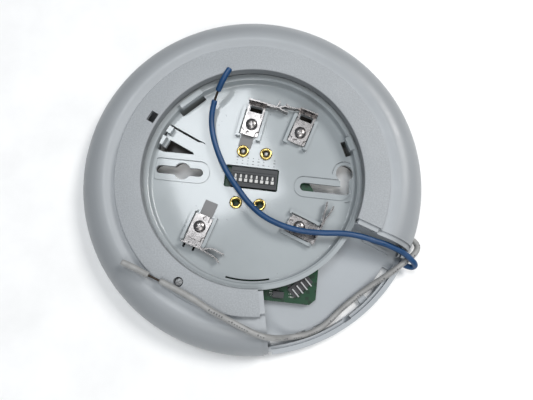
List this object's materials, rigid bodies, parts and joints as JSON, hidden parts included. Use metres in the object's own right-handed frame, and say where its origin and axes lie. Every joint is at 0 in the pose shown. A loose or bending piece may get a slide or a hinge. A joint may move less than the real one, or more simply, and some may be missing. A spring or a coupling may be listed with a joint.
{
  "type": "heat detector mounting base",
  "caption": "Round wired ceiling base for a heat detector: ring cover with an open wiring sector, terminal plate, address switch, screw clamps and two loose leads.",
  "frame": {"origin": "centre of the flat back face, which lies against the ceiling box and here on the table", "axes": "+Z out of the back face towards the detector head, +Y towards the terminals opposite the open sector"},
  "size_m": [0.162, 0.162, 0.0237],
  "materials": {
    "cover_plastic": "fine spark texture on the raised ring, satin on the rim",
    "housing_plastic": "satin moulded",
    "plate_plastic": "satin moulded",
    "board_green": "solder mask",
    "switch_black": "moulded",
    "lever_white": "moulded",
    "contact_steel": "bright plated",
    "plain_steel": "zinc plated",
    "eyelet_brass": "bright",
    "blue_insulation": "satin PVC",
    "white_insulation": "satin PVC, slightly grey"
  },
  "bodies": {
    "base": {"rear_housing": "housing_plastic", "front_cover": "cover_plastic", "terminal_plate": "plate_plastic", "circuit_board": "board_green", "address_switch": "switch_black", "eyelet_1": "eyelet_brass", "eyelet_2": "eyelet_brass", "eyelet_3": "eyelet_brass", "eyelet_4": "eyelet_brass", "eyelet_pin_1": "plain_steel", "eyelet_pin_2": "plain_steel", "contact_1": "contact_steel", "contact_2": "contact_steel", "contact_3": "contact_steel", "contact_4": "contact_steel", "link_strip_1": "plain_steel", "link_strip_2": "plain_steel", "cover_screw": "plain_steel", "board_screw_1": "plain_steel", "board_screw_2": "plain_steel", "header_body": "switch_black", "header_pin_1": "plain_steel", "header_pin_2": "plain_steel", "header_pin_3": "plain_steel", "header_pin_4": "plain_steel", "address_chip": "switch_black", "blue_lead": "blue_insulation", "white_lead": "white_insulation"},
    "lock_arm": {"lock_arm": "plate_plastic"},
    "lever_1": {"switch_lever_1": "lever_white"},
    "lever_2": {"switch_lever_2": "lever_white"},
    "lever_3": {"switch_lever_3": "lever_white"},
    "lever_4": {"switch_lever_4": "lever_white"},
    "lever_5": {"switch_lever_5": "lever_white"},
    "lever_6": {"switch_lever_6": "lever_white"},
    "lever_7": {"switch_lever_7": "lever_white"},
    "lever_8": {"switch_lever_8": "lever_white"},
    "clamp_1": {"clamp_plate_1": "contact_steel"},
    "screw_1": {"terminal_screw_1": "contact_steel"},
    "clamp_2": {"clamp_plate_2": "contact_steel"},
    "screw_2": {"terminal_screw_2": "contact_steel"},
    "clamp_3": {"clamp_plate_3": "contact_steel"},
    "screw_3": {"terminal_screw_3": "contact_steel"},
    "clamp_4": {"clamp_plate_4": "contact_steel"},
    "screw_4": {"terminal_screw_4": "contact_steel"}
  },
  "joints": [
    {"name": "lock_arm_flex", "type": "hinge", "parent": "base", "child": "lock_arm", "pos_m": [-0.0255, 0.01526, 0.008], "axis": [0, 0, 1], "range_deg": [0, 6], "stiffness_Nm_per_rad": 0.15},
    {"name": "lever_1_slide", "type": "slide", "parent": "base", "child": "lever_1", "axis": [0.1305, 0.9914, 0], "range_m": [0, 0.002]},
    {"name": "lever_2_slide", "type": "slide", "parent": "base", "child": "lever_2", "axis": [0.1305, 0.9914, 0], "range_m": [0, 0.002]},
    {"name": "lever_3_slide", "type": "slide", "parent": "base", "child": "lever_3", "axis": [0.1305, 0.9914, 0], "range_m": [0, 0.002]},
    {"name": "lever_4_slide", "type": "slide", "parent": "base", "child": "lever_4", "axis": [0.1305, 0.9914, 0], "range_m": [0, 0.002]},
    {"name": "lever_5_slide", "type": "slide", "parent": "base", "child": "lever_5", "axis": [0.1305, 0.9914, 0], "range_m": [0, 0.002]},
    {"name": "lever_6_slide", "type": "slide", "parent": "base", "child": "lever_6", "axis": [0.1305, 0.9914, 0], "range_m": [0, 0.002]},
    {"name": "lever_7_slide", "type": "slide", "parent": "base", "child": "lever_7", "axis": [0.1305, 0.9914, 0], "range_m": [0, 0.002]},
    {"name": "lever_8_slide", "type": "slide", "parent": "base", "child": "lever_8", "axis": [0.1305, 0.9914, 0], "range_m": [0, 0.002]},
    {"name": "clamp_1_lift", "type": "slide", "parent": "base", "child": "clamp_1", "axis": [0, 0, 1], "range_m": [0, 0.00087]},
    {"name": "screw_1_turn", "type": "hinge", "parent": "clamp_1", "child": "screw_1", "pos_m": [-0.0004, 0.0267, 0.012], "axis": [0, 0, 1], "range_deg": [0, 450]},
    {"name": "clamp_2_lift", "type": "slide", "parent": "base", "child": "clamp_2", "axis": [0, 0, 1], "range_m": [0, 0.00087]},
    {"name": "screw_2_turn", "type": "hinge", "parent": "clamp_2", "child": "screw_2", "pos_m": [0.0228, 0.0221, 0.012], "axis": [0, 0, 1], "range_deg": [0, 450]},
    {"name": "clamp_3_lift", "type": "slide", "parent": "base", "child": "clamp_3", "axis": [0, 0, 1], "range_m": [0, 0.00087]},
    {"name": "screw_3_turn", "type": "hinge", "parent": "clamp_3", "child": "screw_3", "pos_m": [-0.0251, -0.022, 0.012], "axis": [0, 0, 1], "range_deg": [0, 450]},
    {"name": "clamp_4_lift", "type": "slide", "parent": "base", "child": "clamp_4", "axis": [0, 0, 1], "range_m": [0, 0.00087]},
    {"name": "screw_4_turn", "type": "hinge", "parent": "clamp_4", "child": "screw_4", "pos_m": [0.0208, -0.0231, 0.012], "axis": [0, 0, 1], "range_deg": [0, 450]}
  ],
  "couplings": [
    {"joint": "screw_1_turn", "follows": "clamp_1_lift", "rad_per_m": 8976},
    {"joint": "screw_2_turn", "follows": "clamp_2_lift", "rad_per_m": 8976},
    {"joint": "screw_3_turn", "follows": "clamp_3_lift", "rad_per_m": 8976},
    {"joint": "screw_4_turn", "follows": "clamp_4_lift", "rad_per_m": 8976}
  ]
}
